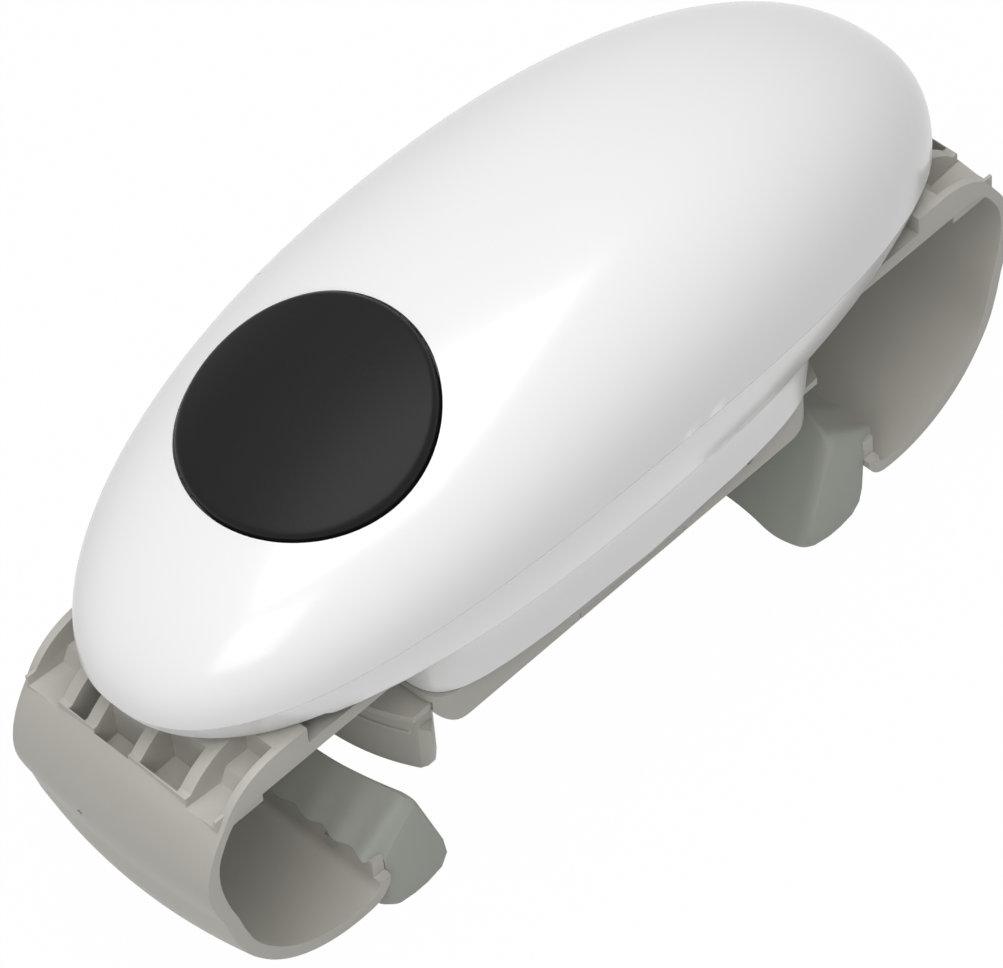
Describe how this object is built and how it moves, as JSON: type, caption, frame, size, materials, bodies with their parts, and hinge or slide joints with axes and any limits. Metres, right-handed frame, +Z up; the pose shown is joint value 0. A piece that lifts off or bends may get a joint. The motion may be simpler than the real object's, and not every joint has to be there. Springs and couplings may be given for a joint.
{
  "type": "electric jar opener",
  "caption": "Electric jar opener: an egg-shaped motor housing with a round button over two sliding hooked jar arms and a turning bar with curved lid jaws.",
  "frame": {"origin": "on the floor under the middle of the housing, on the spindle's axis", "axes": "+X along the housing away from the button, +Z up; at rest the arms and lid jaws are fully open"},
  "size_m": [0.1966, 0.0743, 0.1159],
  "materials": {
    "housing_white": "gloss",
    "arm_gray": "satin",
    "pad_rubber": "matte",
    "button_black": "satin",
    "inner_plastic": "satin",
    "steel": "satin",
    "bronze": "satin",
    "board": "matte"
  },
  "bodies": {
    "housing": {"upper_housing": "housing_white", "lower_housing": "housing_white", "guide_plate": "inner_plastic", "housing_screws": "steel", "guide_screws": "steel", "gear_plate": "inner_plastic", "gear_plate_screws": "steel", "spindle_bush": "bronze", "motor": "steel", "first_axle": "steel", "second_axle": "steel", "battery_tray": "inner_plastic", "battery_one": "steel", "battery_two": "steel", "contact_right": "steel", "contact_left": "steel", "circuit_board": "board", "switch": "board", "button_spring": "steel"},
    "button": {"button": "button_black"},
    "battery_door": {"battery_door": "housing_white"},
    "turntable": {"spindle": "steel", "output_gear": "inner_plastic", "jaw_carrier": "arm_gray", "carrier_cover": "arm_gray", "carrier_screws": "steel"},
    "jaw_pinion": {"jaw_pinion": "inner_plastic"},
    "right_jaw": {"right_lid_jaw": "arm_gray"},
    "left_jaw": {"left_lid_jaw": "arm_gray"},
    "arm_pinion": {"arm_pinion": "inner_plastic"},
    "right_arm": {"right_arm": "arm_gray", "right_arm_pad": "pad_rubber"},
    "left_arm": {"left_arm": "arm_gray", "left_arm_pad": "pad_rubber"},
    "motor_pinion": {"motor_pinion": "steel"},
    "first_gear": {"first_gear": "inner_plastic"},
    "second_gear": {"second_gear": "inner_plastic"}
  },
  "joints": [
    {"name": "button_press", "type": "slide", "parent": "housing", "child": "button", "axis": [0.2982, 0, -0.9545], "range_m": [0, 0.0015], "stiffness_N_per_m": 600, "deforming": ["button_spring"]},
    {"name": "battery_door_slide", "type": "slide", "parent": "housing", "child": "battery_door", "axis": [0, 1, 0], "range_m": [0, 0.015]},
    {"name": "turntable_spin", "type": "hinge", "parent": "housing", "child": "turntable", "pos_m": [0, 0, 0.05], "axis": [0, 0, 1], "continuous": true},
    {"name": "right_jaw_slide", "type": "slide", "parent": "turntable", "child": "right_jaw", "axis": [-1, 0, 0], "range_m": [0, 0.028]},
    {"name": "left_jaw_slide", "type": "slide", "parent": "turntable", "child": "left_jaw", "axis": [1, 0, 0], "range_m": [0, 0.028]},
    {"name": "jaw_pinion_spin", "type": "hinge", "parent": "turntable", "child": "jaw_pinion", "pos_m": [0, 0, 0.05], "axis": [0, 0, 1], "range_deg": [-268, 1]},
    {"name": "right_arm_slide", "type": "slide", "parent": "housing", "child": "right_arm", "axis": [-1, 0, 0], "range_m": [0, 0.028]},
    {"name": "left_arm_slide", "type": "slide", "parent": "housing", "child": "left_arm", "axis": [1, 0, 0], "range_m": [0, 0.028]},
    {"name": "arm_pinion_spin", "type": "hinge", "parent": "housing", "child": "arm_pinion", "pos_m": [0, 0, 0.05], "axis": [0, 0, 1], "range_deg": [-201, 1]},
    {"name": "second_gear_spin", "type": "hinge", "parent": "housing", "child": "second_gear", "pos_m": [0.02443, -0.00889, 0.07], "axis": [0, 0, 1], "continuous": true},
    {"name": "first_gear_spin", "type": "hinge", "parent": "housing", "child": "first_gear", "pos_m": [0.03626, 0.0052, 0.07], "axis": [0, 0, 1], "continuous": true},
    {"name": "motor_spin", "type": "hinge", "parent": "housing", "child": "motor_pinion", "pos_m": [0.04923, 0.00048, 0.07], "axis": [0, 0, 1], "continuous": true}
  ],
  "couplings": [
    {"joint": "left_jaw_slide", "follows": "right_jaw_slide", "ratio": 1},
    {"joint": "jaw_pinion_spin", "follows": "right_jaw_slide", "rad_per_m": -166.67},
    {"joint": "left_arm_slide", "follows": "right_arm_slide", "ratio": 1},
    {"joint": "arm_pinion_spin", "follows": "right_arm_slide", "rad_per_m": -125},
    {"joint": "second_gear_spin", "follows": "turntable_spin", "ratio": -3.3333},
    {"joint": "first_gear_spin", "follows": "turntable_spin", "ratio": 12},
    {"joint": "motor_spin", "follows": "turntable_spin", "ratio": -43.2}
  ]
}
